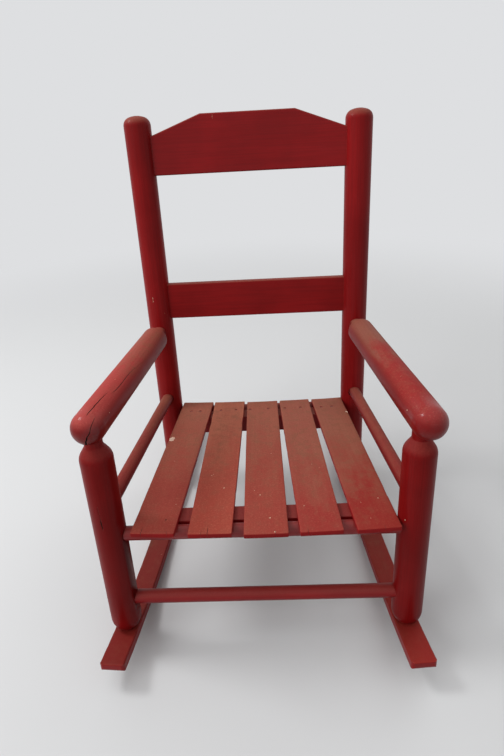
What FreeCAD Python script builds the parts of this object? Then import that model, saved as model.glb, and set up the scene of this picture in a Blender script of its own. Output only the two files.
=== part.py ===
import FreeCAD, Part
import math
import os

# A toddler's rocking chair made of turned dowels and thin flat boards.
# It is drilled square: posts, rungs and seat meet at right angles, and the whole frame
# then leans back on its two curved runners until its weight is over the point that
# touches the floor.
#
# Working frame, in millimetres: Z runs up along the posts with zero where the front posts
# stand on the runners, Y runs from the front posts to the rear posts, and X runs across
# from the left side to the right side as seen by someone who faces the chair.

# Round stock
post_d = 35.0
rung_d = 16.0

# Flat stock
seat_slat_width = 46.6
seat_slat_thickness = 6.0
back_board_thickness = 12.0
batten_width = 24.0
batten_thickness = 25.0
rocker_width = 28.0
rocker_thickness = 11.5

# Plan of the frame, between post axes
front_post_spacing = 330.5
rear_post_spacing = 285.0
post_depth = 291.5

# Heights along the posts
seat_height = 150.0
stretcher_height = 44.0
side_rung_height = 167.0
arm_height = 274.0
back_slat_low_edge = 292.5
crest_low_edge = 489.0
rear_post_top_left = 562.0
rear_post_top_right = 557.0

# Back boards
back_slat_height = 50.5
crest_middle_height = 71.5
crest_end_height = 48.5
crest_flat_length = 121.0

# Arms, the left one cut shorter in front of its post than the right one
arm_reach_left = 26.5
arm_reach_right = 40.0
arm_front_inset = 2.0

# Seat of five slats, fanned out to the front. They were sawn and nailed on by hand, so each
# one's width, place and nails are a little off the even fan
slat_count = 5
slat_width_shares = (1.01, 1.005, 1.013, 0.98, 0.993)
slat_front_pitch = 59.7
slat_rear_pitch = 50.3
slat_front_shift = 5.4
slat_rear_shift = 1.0
slat_front_nudge_shares = (-0.02, 0.024, 0.021, -0.008, 0.005)
slat_rear_nudge_shares = (0.025, 0.005, 0.02, 0.005, 0.006)
slat_front_overhang = 14.0
slat_overhang_shares = (0.80, 1.00, 1.18, 1.06, 0.92)
slat_rear_inset = 0.5
front_batten_left_gap = 11.6
front_batten_right_gap = 0.9
rear_batten_left_gap = 3.0
rear_batten_right_gap = 1.0
front_nail_spacing = 24.0
rear_nail_shares = ((-0.14, 0.15), (-0.25, 0.24), (-0.40, 0.19), (-0.35, 0.17), (-0.27, 0.08))

# Runners: the underside is an arc, square to the posts at rocker_low_point
rocker_radius = 1200.0
rocker_low_point = 80.0
rocker_front_reach_left = 60.0
rocker_front_reach_right = 64.5
rocker_rear_reach = 172.0
rocker_tip_corner = 4.0
rocker_tip_heel = 6.0

# Turned ends of the thick dowels
neck_d = 19.0
post_cone_length = 16.5
post_cone_round_share = 0.45
arm_neck_length_left = 7.0
arm_neck_length_right = 12.0
arm_tenon_depth = 16.0
arm_cone_length = 13.0
arm_cone_round_share = 0.5
arm_rear_neck_length = 13.0
arm_rear_tenon_depth = 14.0
foot_neck_d = 17.0
foot_cone_length = 18.0
foot_round_share = 0.9
foot_tenon_d = 13.0
post_top_round = 11.0
post_top_dome = 30.0

# Joints
rung_tenon_depth = 14.0
board_tenon_depth = 8.0
fit_clearance = 0.15
foot_tenon_recess = 0.6
front_batten_gap = 0.1
rear_batten_gap = 9.4

# Softened edges
slat_edge_round = 0.9
board_edge_round = 1.8
batten_edge_round = 1.0
rocker_edge_round = 1.5
rung_edge_round = 1.0

# Nails
nail_shank_d = 1.8
nail_head_d = 4.2
nail_head_thickness = 0.8
nail_length = 15.0
nail_head_sink = 0.3

# Weight of the nails for each weight of the same volume of wood
steel_to_wood = 12.0

# Working values
overrun = 20.0
post_r = post_d / 2
rung_r = rung_d / 2
half_front = front_post_spacing / 2
half_rear = rear_post_spacing / 2
slat_under = seat_height - seat_slat_thickness
slat_length = slat_front_overhang + rung_r + post_depth - slat_rear_inset
seat_rung_height = slat_under - rung_r


def vec(x, y, z):
    return FreeCAD.Vector(x, y, z)


def turn(points, arcs):
    """Solid turned about Z from (radius, height) points; arcs maps an edge's index to its middle point."""
    edges = []
    corners = [vec(r, 0, z) for r, z in points]
    closed = corners[1:] + corners[:1]
    for index, (here, there) in enumerate(zip(corners, closed)):
        if index in arcs:
            r, z = arcs[index]
            edges.append(Part.Arc(here, vec(r, 0, z), there).toShape())
        else:
            edges.append(Part.LineSegment(here, there).toShape())
    face = Part.Face(Part.Wire(edges))
    return face.revolve(vec(0, 0, 0), vec(0, 0, 1), 360)


def aim(shape, start, end):
    """Place a shape made up along Z so that it runs from start towards end."""
    placed = shape.copy()
    placed.Placement = FreeCAD.Placement(start, FreeCAD.Rotation(vec(0, 0, 1), end - start))
    return placed


def rod(diameter, start, end):
    return Part.makeCylinder(diameter / 2, (end - start).Length, start, end - start)


def mirrored(shape):
    return shape.mirror(vec(0, 0, 0), vec(1, 0, 0))


def shoulder(radius, neck, length, round_share):
    """Middle and end of the arc that softens a cone from a dowel's full radius down to its neck.

    Both are (radius, rise) pairs. The arc starts on the dowel at rise zero; a share of one would
    make the whole shoulder one arc.
    """
    corner = round_share * ((radius - neck) ** 2 + length ** 2) / (2 * length)
    bend = math.atan2(radius - neck, length - corner)
    arc_r = corner / math.tan(bend / 2)
    points = []
    for angle in (bend / 2, bend):
        points.append((radius - arc_r + arc_r * math.cos(angle), arc_r * math.sin(angle)))
    return points


# Runner geometry: an arc in the upright plane that holds both post axes of one side
side_run = math.hypot(post_depth, half_front - half_rear)
side_turn = math.atan2(half_front - half_rear, post_depth)
rocker_front_reach = max(rocker_front_reach_left, rocker_front_reach_right)
rocker_length = rocker_front_reach + side_run + rocker_rear_reach


def rocker_underside(along):
    """Height of a runner's underside at a distance behind the front post axis."""
    rise_of_front_foot = rocker_radius - math.sqrt(rocker_radius ** 2 - rocker_low_point ** 2)
    drop = rocker_radius - math.sqrt(rocker_radius ** 2 - (along - rocker_low_point) ** 2)
    return drop - rise_of_front_foot - rocker_thickness


def arc_heights(offset, front_reach):
    """Front end, middle and rear end of an arc that lies offset above the underside."""
    centre_z = rocker_underside(rocker_low_point) + rocker_radius
    radius = rocker_radius - offset
    points = []
    for along in (-front_reach, side_run / 2, side_run + rocker_rear_reach):
        z = centre_z - math.sqrt(radius ** 2 - (along - rocker_low_point) ** 2)
        points.append(vec(0, along, z))
    return points


def to_side(shape):
    """Turn a shape made in the YZ plane onto the line of the right hand posts."""
    placed = shape.copy()
    placed.rotate(vec(0, 0, 0), vec(0, 0, 1), math.degrees(side_turn))
    placed.translate(vec(half_front, 0, 0))
    return placed


def below_arc(offset, width):
    """Solid that fills everything under an arc, to trim the feet of the posts."""
    front, middle, rear = arc_heights(offset, rocker_front_reach)
    floor = front.z - rocker_length
    low_front = vec(0, front.y, floor)
    low_rear = vec(0, rear.y, floor)
    edges = [Part.Arc(front, middle, rear).toShape(),
             Part.LineSegment(rear, low_rear).toShape(),
             Part.LineSegment(low_rear, low_front).toShape(),
             Part.LineSegment(low_front, front).toShape()]
    face = Part.Face(Part.Wire(edges))
    face.translate(vec(-width / 2, 0, 0))
    return to_side(face.extrude(vec(width, 0, 0)))


def heel_arc(tip, outward):
    """Rounding between a runner's tip and its underside: start on the tip, middle, end below."""
    centre_z = rocker_underside(rocker_low_point) + rocker_radius
    along = tip - outward * rocker_tip_heel
    offset = along - rocker_low_point
    reach = rocker_radius - rocker_tip_heel
    heel = vec(0, along, centre_z - math.sqrt(reach ** 2 - offset ** 2))
    to_tip = vec(0, outward, 0)
    to_floor = (heel - vec(0, rocker_low_point, centre_z)).normalize()
    between = (to_tip + to_floor).normalize()
    return [heel + direction * rocker_tip_heel for direction in (to_tip, between, to_floor)]


def rocker(front_reach):
    """Right runner with a rounded heel under each tip, soft rims, plan corners and holes for the feet."""
    top_front, top_middle, top_rear = arc_heights(rocker_thickness, front_reach)
    low_middle = arc_heights(0, front_reach)[1]
    front_tip, front_heel, front_low = heel_arc(-front_reach, -1)
    rear_tip, rear_heel, rear_low = heel_arc(side_run + rocker_rear_reach, 1)
    edges = [Part.Arc(front_low, low_middle, rear_low).toShape(),
             Part.Arc(rear_low, rear_heel, rear_tip).toShape(),
             Part.LineSegment(rear_tip, top_rear).toShape(),
             Part.Arc(top_rear, top_middle, top_front).toShape(),
             Part.LineSegment(top_front, front_tip).toShape(),
             Part.Arc(front_tip, front_heel, front_low).toShape()]
    face = Part.Face(Part.Wire(edges))
    face.translate(vec(-rocker_width / 2, 0, 0))
    board = face.extrude(vec(rocker_width, 0, 0))
    across = [e for e in board.Edges if spans_across(e)]
    rims = [e for e in board.Edges if not spans_across(e)]
    for corner in (top_front, top_rear):
        rims.append(min(across, key=lambda e: (e.CenterOfMass - corner).Length))
    board = board.makeFillet(rocker_edge_round, rims)

    plan = Part.makeBox(rocker_width, front_reach + side_run + rocker_rear_reach, rocker_length,
                        vec(-rocker_width / 2, -front_reach, -rocker_length / 2))
    plan = plan.makeFillet(rocker_tip_corner, [e for e in plan.Edges if stands_upright(e)])
    runner = to_side(board.common(plan).Solids[0])
    for foot in (vec(half_front, 0, foot_height(0)), vec(half_rear, post_depth, foot_height(post_depth))):
        runner = runner.cut(hole_for(foot_tenon_d, foot - vec(0, 0, overrun), foot + vec(0, 0, overrun)))
    return runner


def spans_across(edge):
    return abs(edge.tangentAt(edge.FirstParameter).x) > math.sqrt(2) / 2


def stands_upright(edge):
    return abs(edge.tangentAt(edge.FirstParameter).z) > math.sqrt(2) / 2


def foot_post_body(top_outline, top_arcs, foot_z):
    """Turned post whose lower end narrows to a neck that runs on past the runner."""
    neck = foot_neck_d / 2
    (mid_r, mid_rise), (end_r, end_rise) = shoulder(post_r, neck, foot_cone_length, foot_round_share)
    full_z = foot_z + foot_cone_length
    points = [(0, foot_z - overrun), (neck, foot_z - overrun), (neck, foot_z),
              (end_r, full_z - end_rise), (post_r, full_z)]
    arcs = {3: (mid_r, full_z - mid_rise)}
    for index, middle in top_arcs.items():
        arcs[index + len(points)] = middle
    return turn(points + top_outline, arcs)


def stand_on_runner(body, x, y):
    """Cut a post to the runner's curved top and give it a round tenon through the board."""
    post = body.copy()
    post.translate(vec(x, y, 0))
    post = post.cut(below_arc(rocker_thickness, post_d * 2))
    tenon = Part.makeCylinder(foot_tenon_d / 2, overrun * 2, vec(x, y, foot_height(y) - overrun))
    tenon = tenon.cut(below_arc(foot_tenon_recess, post_d * 2))
    return post.fuse(tenon).removeSplitter()


def foot_height(y):
    """Height of a runner's top under a post axis."""
    along = y / math.cos(side_turn)
    return rocker_underside(along) + rocker_thickness


def front_post_blank(neck_length):
    """Front post with a cone on top whose neck shows for neck_length under the arm."""
    neck = neck_d / 2
    under_arm = arm_height - post_r
    neck_z = under_arm - neck_length
    cone_z = neck_z - post_cone_length
    (mid_r, mid_rise), (end_r, end_rise) = shoulder(post_r, neck, post_cone_length, post_cone_round_share)
    top = under_arm + arm_tenon_depth
    outline = [(post_r, cone_z), (end_r, cone_z + end_rise), (neck, neck_z), (neck, top), (0, top)]
    body = foot_post_body(outline, {0: (mid_r, cone_z + mid_rise)}, foot_height(0))
    return stand_on_runner(body, half_front, 0)


def rear_post_blank(top):
    """Rear post with a low dome on top that runs smoothly into a rounded rim."""
    dome_z = top - post_top_dome
    rim_r = post_r - post_top_round
    to_rim = post_top_dome - post_top_round
    rim_z = dome_z + math.sqrt(to_rim ** 2 - rim_r ** 2)
    meet = math.asin(rim_r / to_rim)
    middle = (math.pi / 2 + meet) / 2

    def on_dome(angle):
        return post_top_dome * math.sin(angle), dome_z + post_top_dome * math.cos(angle)

    arcs = {0: (rim_r + post_top_round * math.sin(middle), rim_z + post_top_round * math.cos(middle)),
            1: on_dome(meet / 2)}
    body = foot_post_body([(post_r, rim_z), on_dome(meet), (0, top)], arcs, foot_height(post_depth))
    return stand_on_runner(body, half_rear, post_depth)


def arm_axis(reach):
    """Front tip of the right arm, its point on the rear post's axis, and the unit vector between."""
    over_front = vec(half_front - arm_front_inset, 0, arm_height)
    at_rear = vec(half_rear, post_depth, arm_height)
    back = (at_rear - over_front).normalize()
    return over_front - back * reach, at_rear, back


def arm_tenon_hole():
    """Hole in the right rear post for the arm's tenon."""
    tip, at_rear, back = arm_axis(arm_reach_right)
    end = at_rear - back * (post_r - arm_rear_tenon_depth)
    return hole_for(neck_d, end, end - back * post_d)


def arm(reach):
    """Thick dowel with a ball end in front, a coned tenon behind and a hole for the front post."""
    tip, at_rear, back = arm_axis(reach)
    run = (at_rear - tip).Length - post_r
    neck = neck_d / 2
    neck_z = run - arm_rear_neck_length
    cone_z = neck_z - arm_cone_length
    (mid_r, mid_rise), (end_r, end_rise) = shoulder(post_r, neck, arm_cone_length, arm_cone_round_share)
    top = run + arm_rear_tenon_depth
    half_ball = post_r * math.sqrt(2) / 2
    outline = [(0, 0), (post_r, post_r), (post_r, cone_z), (end_r, cone_z + end_rise), (neck, neck_z),
               (neck, top), (0, top)]
    arcs = {0: (half_ball, post_r - half_ball), 2: (mid_r, cone_z + mid_rise)}
    bar = aim(turn(outline, arcs), tip, at_rear)
    hole_top = vec(half_front, 0, arm_height - post_r + arm_tenon_depth)
    return bar.cut(hole_for(neck_d, hole_top - vec(0, 0, post_d), hole_top))


def rung(start, end):
    """Thin dowel between two post axes, and its two ends inside their blind holes."""
    inset = (end - start).normalize() * (post_r - rung_tenon_depth)
    bar = rod(rung_d, start + inset, end - inset)
    rims = [e for e in bar.Edges if len(e.Vertexes) == 1]
    return bar.makeFillet(rung_edge_round, rims), start + inset, end - inset


def hole_for(diameter, start, end):
    return rod(diameter + fit_clearance * 2, start, end)


def soft_board(length, width, thickness, rounding):
    """Board along Y, centred on X, lying on Z zero, with all its edges rounded."""
    board = Part.makeBox(width, length, thickness, vec(-width / 2, 0, 0))
    return board.makeFillet(rounding, board.Edges)


def slat_width(index):
    return seat_slat_width * slat_width_shares[index]


def slat_ends(index):
    """Middle of the front and rear end of one seat slat."""
    step = index - (slat_count - 1) / 2
    overhang = slat_front_overhang * slat_overhang_shares[index]
    front_x = step * slat_front_pitch + slat_front_shift + seat_slat_width * slat_front_nudge_shares[index]
    rear_x = step * slat_rear_pitch + slat_rear_shift + seat_slat_width * slat_rear_nudge_shares[index]
    front = vec(front_x, -rung_r - overhang, slat_under)
    run = math.sqrt(slat_length ** 2 - (front_x - rear_x) ** 2)
    return front, vec(rear_x, front.y + run, slat_under)


def nail_places(index):
    """Nails of one slat: an even pair over the front batten and a looser pair over the rear one."""
    front, rear = slat_ends(index)
    along = (rear - front).normalize()
    across = vec(along.y, -along.x, 0)
    front_sides = (-front_nail_spacing / 2, front_nail_spacing / 2)
    rear_sides = [slat_width(index) * share for share in rear_nail_shares[index]]
    places = []
    for line, sides in ((front_batten_middle(), front_sides), (rear_batten_middle(), rear_sides)):
        middle = front + along * ((line - front.y) / along.y)
        for side in sides:
            places.append(middle + across * side + vec(0, 0, seat_slat_thickness))
    return places


def front_batten_middle():
    return rung_r + front_batten_gap + batten_width / 2


def rear_batten_middle():
    return post_depth - rung_r - rear_batten_gap - batten_width / 2


def nail(place):
    head_top = place - vec(0, 0, nail_head_sink)
    head = Part.makeCylinder(nail_head_d / 2, nail_head_thickness, head_top, vec(0, 0, -1))
    shank = Part.makeCylinder(nail_shank_d / 2, nail_length, head_top, vec(0, 0, -1))
    return head.fuse(shank).removeSplitter()


def nail_hole(place):
    grow = fit_clearance
    down = vec(0, 0, -1)
    head_depth = nail_head_sink + nail_head_thickness + grow
    head = Part.makeCylinder(nail_head_d / 2 + grow, head_depth, place, down)
    shank = Part.makeCylinder(nail_shank_d / 2 + grow, nail_head_sink + nail_length + grow, place, down)
    return head.fuse(shank)


def seat_slat(index):
    front, rear = slat_ends(index)
    board = soft_board(slat_length, slat_width(index), seat_slat_thickness, slat_edge_round)
    board.rotate(vec(0, 0, 0), vec(0, 0, 1), math.degrees(math.atan2(front.x - rear.x, rear.y - front.y)))
    board.translate(front)
    for place in nail_places(index):
        board = board.cut(nail_hole(place))
    return board


def batten(middle_y, half_spacing, left_gap, right_gap, places):
    """Stick under the slats that ends just short of the posts on either side."""
    left = left_gap + post_r - half_spacing
    right = half_spacing - post_r - right_gap
    strip = soft_board(batten_width, right - left, batten_thickness, batten_edge_round)
    strip.translate(vec((left + right) / 2, middle_y - batten_width / 2, slat_under - batten_thickness))
    for place in places:
        strip = strip.cut(nail_hole(place))
    return strip


def back_board(low_edge, outline):
    """Flat board between the rear posts, standing on its edge, from an outline in X and Z."""
    corners = [vec(x, post_depth - back_board_thickness / 2, low_edge + z) for x, z in outline]
    face = Part.Face(Part.makePolygon(corners + corners[:1]))
    board = face.extrude(vec(0, back_board_thickness, 0))
    return board.makeFillet(board_edge_round, [e for e in board.Edges if spans_across(e)])


def back_board_reach():
    return half_rear - post_r + board_tenon_depth


def back_slat():
    reach = back_board_reach()
    high = back_slat_height
    return back_board(back_slat_low_edge, [(-reach, 0), (reach, 0), (reach, high), (-reach, high)])


def crest_rail():
    """Top board: level in the middle, then sloping down to each post and level again inside it."""
    reach = back_board_reach()
    at_post = half_rear - post_r
    flat = crest_flat_length / 2
    outline = [(-reach, 0), (reach, 0), (reach, crest_end_height), (at_post, crest_end_height),
               (flat, crest_middle_height), (-flat, crest_middle_height),
               (-at_post, crest_end_height), (-reach, crest_end_height)]
    return back_board(crest_low_edge, outline)


def back_slot(low_edge, height):
    """Slot in the right rear post for the end of a back board."""
    grow = fit_clearance
    return Part.makeBox(post_d, back_board_thickness + 2 * grow, height + 2 * grow,
                        vec(-post_d + half_rear - post_r + board_tenon_depth + grow,
                            post_depth - back_board_thickness / 2 - grow, low_edge - grow))


def make_parts():
    parts = {}

    def front(height, side=1):
        return vec(side * half_front, 0, height)

    def rear(height, side=1):
        return vec(side * half_rear, post_depth, height)

    # Rungs, each with its end that sits in a right hand post
    front_seat_rung, left_end, front_seat_end = rung(front(seat_rung_height, -1), front(seat_rung_height))
    rear_seat_rung, left_end, rear_seat_end = rung(rear(seat_rung_height, -1), rear(seat_rung_height))
    stretcher, left_end, stretcher_end = rung(front(stretcher_height, -1), front(stretcher_height))
    side_rung, side_front_end, side_rear_end = rung(front(side_rung_height), rear(side_rung_height))

    # Posts
    inside = vec(-post_d, 0, 0)

    def front_post(neck_length):
        post = front_post_blank(neck_length)
        post = post.cut(hole_for(rung_d, front_seat_end + inside, front_seat_end))
        post = post.cut(hole_for(rung_d, stretcher_end + inside, stretcher_end))
        return post.cut(hole_for(rung_d, side_front_end, side_front_end + vec(0, post_d, 0)))

    def rear_post(top):
        post = rear_post_blank(top)
        post = post.cut(hole_for(rung_d, rear_seat_end + inside, rear_seat_end))
        post = post.cut(hole_for(rung_d, side_rear_end, side_rear_end - vec(0, post_d, 0)))
        post = post.cut(arm_tenon_hole())
        post = post.cut(back_slot(back_slat_low_edge, back_slat_height))
        return post.cut(back_slot(crest_low_edge, crest_end_height))

    parts["side_rung_right"] = side_rung
    parts["side_rung_left"] = mirrored(side_rung)
    parts["front_post_right"] = front_post(arm_neck_length_right)
    parts["front_post_left"] = mirrored(front_post(arm_neck_length_left))
    parts["rear_post_right"] = rear_post(rear_post_top_right)
    parts["rear_post_left"] = mirrored(rear_post(rear_post_top_left))
    parts["arm_right"] = arm(arm_reach_right)
    parts["arm_left"] = mirrored(arm(arm_reach_left))
    parts["rocker_right"] = rocker(rocker_front_reach_right)
    parts["rocker_left"] = mirrored(rocker(rocker_front_reach_left))
    parts["front_seat_rung"] = front_seat_rung
    parts["rear_seat_rung"] = rear_seat_rung
    parts["front_stretcher"] = stretcher
    parts["crest_rail"] = crest_rail()
    parts["back_slat"] = back_slat()

    # Seat
    places = []
    for index in range(slat_count):
        parts["seat_slat_%d" % (index + 1)] = seat_slat(index)
        places += nail_places(index)
    front_nails = [p for p in places if p.y < post_depth / 2]
    rear_nails = [p for p in places if p.y > post_depth / 2]
    parts["front_seat_batten"] = batten(front_batten_middle(), half_front, front_batten_left_gap,
                                        front_batten_right_gap, front_nails)
    parts["rear_seat_batten"] = batten(rear_batten_middle(), half_rear, rear_batten_left_gap,
                                       rear_batten_right_gap, rear_nails)
    parts["seat_slat_nails"] = Part.makeCompound([nail(p) for p in places])
    return parts


def balance_lean(parts):
    """Angle at which the centre of mass hangs straight under the centre of the runners' arc."""
    mass = 0
    moment = vec(0, 0, 0)
    for name, shape in parts.items():
        weight = steel_to_wood if name == "seat_slat_nails" else 1
        for solid in shape.Solids:
            mass += solid.Volume * weight
            moment += solid.CenterOfMass * (solid.Volume * weight)
    centre = moment * (1 / mass)
    arc_y = rocker_low_point * math.cos(side_turn)
    arc_z = rocker_underside(rocker_low_point) + rocker_radius
    print("centre of mass along and up the posts: %.1f %.1f" % (centre.y, centre.z))
    return math.degrees(math.atan2(centre.y - arc_y, arc_z - centre.z))


def set_down(parts):
    """Lean the chair back on its runners, then put its origin under the middle of its box."""
    lean = balance_lean(parts)
    print("lean of the posts: %.2f degrees" % lean)
    leaned = {}
    for name, shape in parts.items():
        leaned[name] = shape.copy()
        leaned[name].rotate(vec(0, 0, 0), vec(1, 0, 0), -lean)
    box = Part.makeCompound(list(leaned.values())).optimalBoundingBox(False, False)
    print("size: %.1f x %.1f x %.1f" % (box.XLength, box.YLength, box.ZLength))
    print("moved by: %.2f %.2f %.2f" % (-box.Center.x, -box.Center.y, -box.ZMin))
    for shape in leaned.values():
        shape.translate(vec(-box.Center.x, -box.Center.y, -box.ZMin))
    return leaned


def main():
    os.makedirs("parts", exist_ok=True)
    for name, shape in set_down(make_parts()).items():
        shape.exportStep("parts/%s.step" % name)
        facts = (name, len(shape.Solids), shape.Volume, shape.isValid())
        print("%-18s solids %d  volume %9.0f  valid %s" % facts)


main()
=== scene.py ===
# %% [markdown]
# # A toddler's rocking chair, dressed
#
# The construction comes in as a fixed frame: 23 named nodes at their real size, in metres, with
# +Z up and the chair facing -Y. This lesson gives that frame its looks. Most pieces already have the
# right shape, so they only get paint. The arms, the seat slats and one cracked post are built again
# as finer meshes, because they carry cracks, splits, nail dents and knocked edges that a clean solid
# does not have.

# %% Load the frame
import bmesh
import bpy
import math
import random
from mathutils import Matrix, Vector, noise


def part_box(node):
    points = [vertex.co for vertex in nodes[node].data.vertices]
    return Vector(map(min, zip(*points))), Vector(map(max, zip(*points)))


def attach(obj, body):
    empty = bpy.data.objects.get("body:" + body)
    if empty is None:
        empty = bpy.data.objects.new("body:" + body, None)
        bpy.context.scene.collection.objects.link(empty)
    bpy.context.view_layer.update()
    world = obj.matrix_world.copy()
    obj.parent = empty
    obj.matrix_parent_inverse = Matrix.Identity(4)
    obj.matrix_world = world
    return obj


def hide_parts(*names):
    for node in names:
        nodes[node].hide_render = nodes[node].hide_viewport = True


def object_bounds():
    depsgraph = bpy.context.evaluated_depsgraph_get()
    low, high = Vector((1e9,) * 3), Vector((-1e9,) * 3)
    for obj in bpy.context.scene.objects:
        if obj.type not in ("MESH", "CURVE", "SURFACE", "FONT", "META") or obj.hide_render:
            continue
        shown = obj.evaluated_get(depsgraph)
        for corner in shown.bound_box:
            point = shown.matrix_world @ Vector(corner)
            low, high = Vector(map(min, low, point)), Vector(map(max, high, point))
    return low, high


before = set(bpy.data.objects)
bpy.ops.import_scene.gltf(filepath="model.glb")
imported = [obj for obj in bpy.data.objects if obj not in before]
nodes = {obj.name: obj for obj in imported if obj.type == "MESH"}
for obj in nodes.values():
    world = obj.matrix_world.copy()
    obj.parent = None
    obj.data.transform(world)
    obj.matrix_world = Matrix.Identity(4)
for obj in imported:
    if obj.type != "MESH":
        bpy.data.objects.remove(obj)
cad_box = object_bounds()
print("nodes:", len(nodes), " box in mm:", [round(1000 * v) for corner in cad_box for v in corner])

# %% [markdown]
# ## The chair's own directions
#
# The chair was drilled square and then leans back on its runners. Grain, slats and arms all follow
# the square directions, so these are worked out once: the two dowels between the front posts lie one
# above the other, and the line between their middles is the posts' direction. It could be typed in as
# an angle, but taken from the frame it stays right if the lean changes.

# %% Work out the lean
MM = 0.001
POST_R = 17.5 * MM
RUNG_R = 8 * MM
SLAT_THICKNESS = 6 * MM


def middle(node):
    low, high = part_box(node)
    return (low + high) / 2


def axes_at(x_axis, y_axis, z_axis, origin):
    made = Matrix((x_axis, y_axis, z_axis)).transposed().to_4x4()
    made.translation = origin
    return made


up = (middle("front_seat_rung") - middle("front_stretcher")).normalized()
right = Vector((1, 0, 0))
back = up.cross(right)
seat_edge = middle("front_seat_rung") + up * (RUNG_R + SLAT_THICKNESS)
chair = axes_at(right, back, up, seat_edge)
chair_turn = chair.to_3x3()
to_chair = chair.inverted()


def corners(points):
    """Lowest and highest corner of the box round some points."""
    return Vector(map(min, zip(*points))), Vector(map(max, zip(*points)))


def chair_box(node):
    """The same two corners of a node, in the chair's own square directions."""
    return corners([to_chair @ v.co for v in nodes[node].data.vertices])


def on_chair(x, y, z):
    """World point of a place in millimetres from the seat's top over the front rung's middle."""
    return chair @ (Vector((x, y, z)) * MM)


print("lean in degrees:", round(math.degrees(math.atan2(up.y, up.z)), 2))

# %% [markdown]
# ## Camera
#
# The photograph looks down at the chair from in front. Blender fits the sensor's width to the long
# side of the picture, so the lens follows from the focal length in pixels.

# %% Set up the camera
SENSOR_WIDTH_MM = 36
PHOTO_HEIGHT_PX = 756
FOCAL_PX = 536.63
CAMERA_PLACE = Vector((0.01818, -0.61762, 0.59369))
CAMERA_TILT = math.radians(60.728)
CAMERA_ROLL = math.radians(2.961)
CAMERA_TURN = math.radians(0.757)


def in_scene(name, data):
    """New object that stands in the scene."""
    made = bpy.data.objects.new(name, data)
    bpy.context.scene.collection.objects.link(made)
    return made


lens = bpy.data.cameras.new("photo_camera")
lens.sensor_width = SENSOR_WIDTH_MM
lens.lens = SENSOR_WIDTH_MM * FOCAL_PX / PHOTO_HEIGHT_PX
camera = in_scene("photo_camera", lens)
camera.location = CAMERA_PLACE
camera.rotation_euler = (CAMERA_TILT, CAMERA_ROLL, CAMERA_TURN)
bpy.context.scene.camera = camera
print("lens in mm:", round(lens.lens, 2))

# %% [markdown]
# ## Colours
#
# Colours are easiest to judge on a screen, as red, green and blue from 0 to 255, but a shader wants
# them linear. One helper turns the one into the other. A second one makes a linear colour lighter or
# darker, for brush marks and mottling.

# %% Helpers for colours
WHITE = 255
# The screen's own curve: a straight foot for dark values and a power above it
FOOT_END = 0.04045
FOOT_SLOPE = 12.92
CURVE_OFFSET = 0.055
CURVE_POWER = 2.4


def screen(r, g, b):
    """Linear colour with full alpha from screen values."""
    channels = []
    for value in (r, g, b):
        share = value / WHITE
        if share <= FOOT_END:
            channels.append(share / FOOT_SLOPE)
        else:
            channels.append(((share + CURVE_OFFSET) / (1 + CURVE_OFFSET)) ** CURVE_POWER)
    return (*channels, 1.0)


def gained(colour, gain):
    """The same colour, lighter or darker."""
    return (*(channel * gain for channel in colour[:3]), 1.0)


print("brick red, linear:", [round(c, 3) for c in screen(146, 72, 58)])

# %% [markdown]
# ## Writing shaders as arithmetic
#
# A graph of sums and products is long to build and hard to read. Here a small class wraps an output
# socket and knows the arithmetic signs, so `1 - dust * 0.5` adds its own Math nodes. One method makes
# every other node from its type, settings and inputs. Node groups would do it too, but they hide the
# numbers that make one finish differ from another.

# %% Wires and node trees
class Wire:
    """An output socket that can be used in sums."""

    def __init__(self, nodes_of, socket):
        self.nodes_of = nodes_of
        self.socket = socket

    def math(self, operation, first, second):
        return self.nodes_of.node("ShaderNodeMath", {"operation": operation}, {0: first, 1: second})

    def __add__(self, other):
        return self.math("ADD", self, other)

    def __sub__(self, other):
        return self.math("SUBTRACT", self, other)

    def __mul__(self, other):
        return self.math("MULTIPLY", self, other)

    def __rsub__(self, other):
        return self.math("SUBTRACT", other, self)

    __radd__ = __add__

    def below(self, limit):
        return self.math("LESS_THAN", self, limit)

    def most(self, other):
        return self.math("MAXIMUM", self, other)


class Tree:
    """A node tree in the making: its nodes come back as wires."""

    def __init__(self, tree):
        self.tree = tree

    def node(self, kind, settings=None, inputs=None, output=0):
        made = self.tree.nodes.new(kind)
        for key, value in (settings or {}).items():
            setattr(made, key, value)
        for key, value in (inputs or {}).items():
            self.feed(self.socket(made.inputs, key), value)
        if made.outputs:
            return Wire(self, self.socket(made.outputs, output))

    def socket(self, sockets, key):
        if isinstance(key, int):
            return sockets[key]
        return next(s for s in sockets if s.name == key and s.enabled)

    def feed(self, socket, value):
        if isinstance(value, Wire):
            self.tree.links.new(value.socket, socket)
        else:
            socket.default_value = value

    def mix(self, share, first, second):
        """Colour that goes from first to second as share goes from 0 to 1."""
        return self.node("ShaderNodeMix", {"data_type": "RGBA"}, {"Factor": share, "A": first, "B": second},
                         "Result")

    def ramp(self, wire, low, high):
        """0 below low, 1 above high and a smooth rise between."""
        return self.node("ShaderNodeMapRange", {"interpolation_type": "SMOOTHSTEP"},
                         {"Value": wire, "From Min": low, "From Max": high}, "Result")

    def vector(self, operation, first, second, output):
        return self.node("ShaderNodeVectorMath", {"operation": operation}, {0: first, 1: second}, output)

    def dot(self, vector, direction):
        """Dot product of a wire with a fixed direction or with another wire."""
        other = direction if isinstance(direction, Wire) else tuple(direction)
        return self.vector("DOT_PRODUCT", vector, other, "Value")

    def noise(self, vector, scale, detail=3.0, roughness=0.55):
        return self.node("ShaderNodeTexNoise", {}, {"Vector": vector, "Scale": scale, "Detail": detail,
                                                    "Roughness": roughness})


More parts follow.
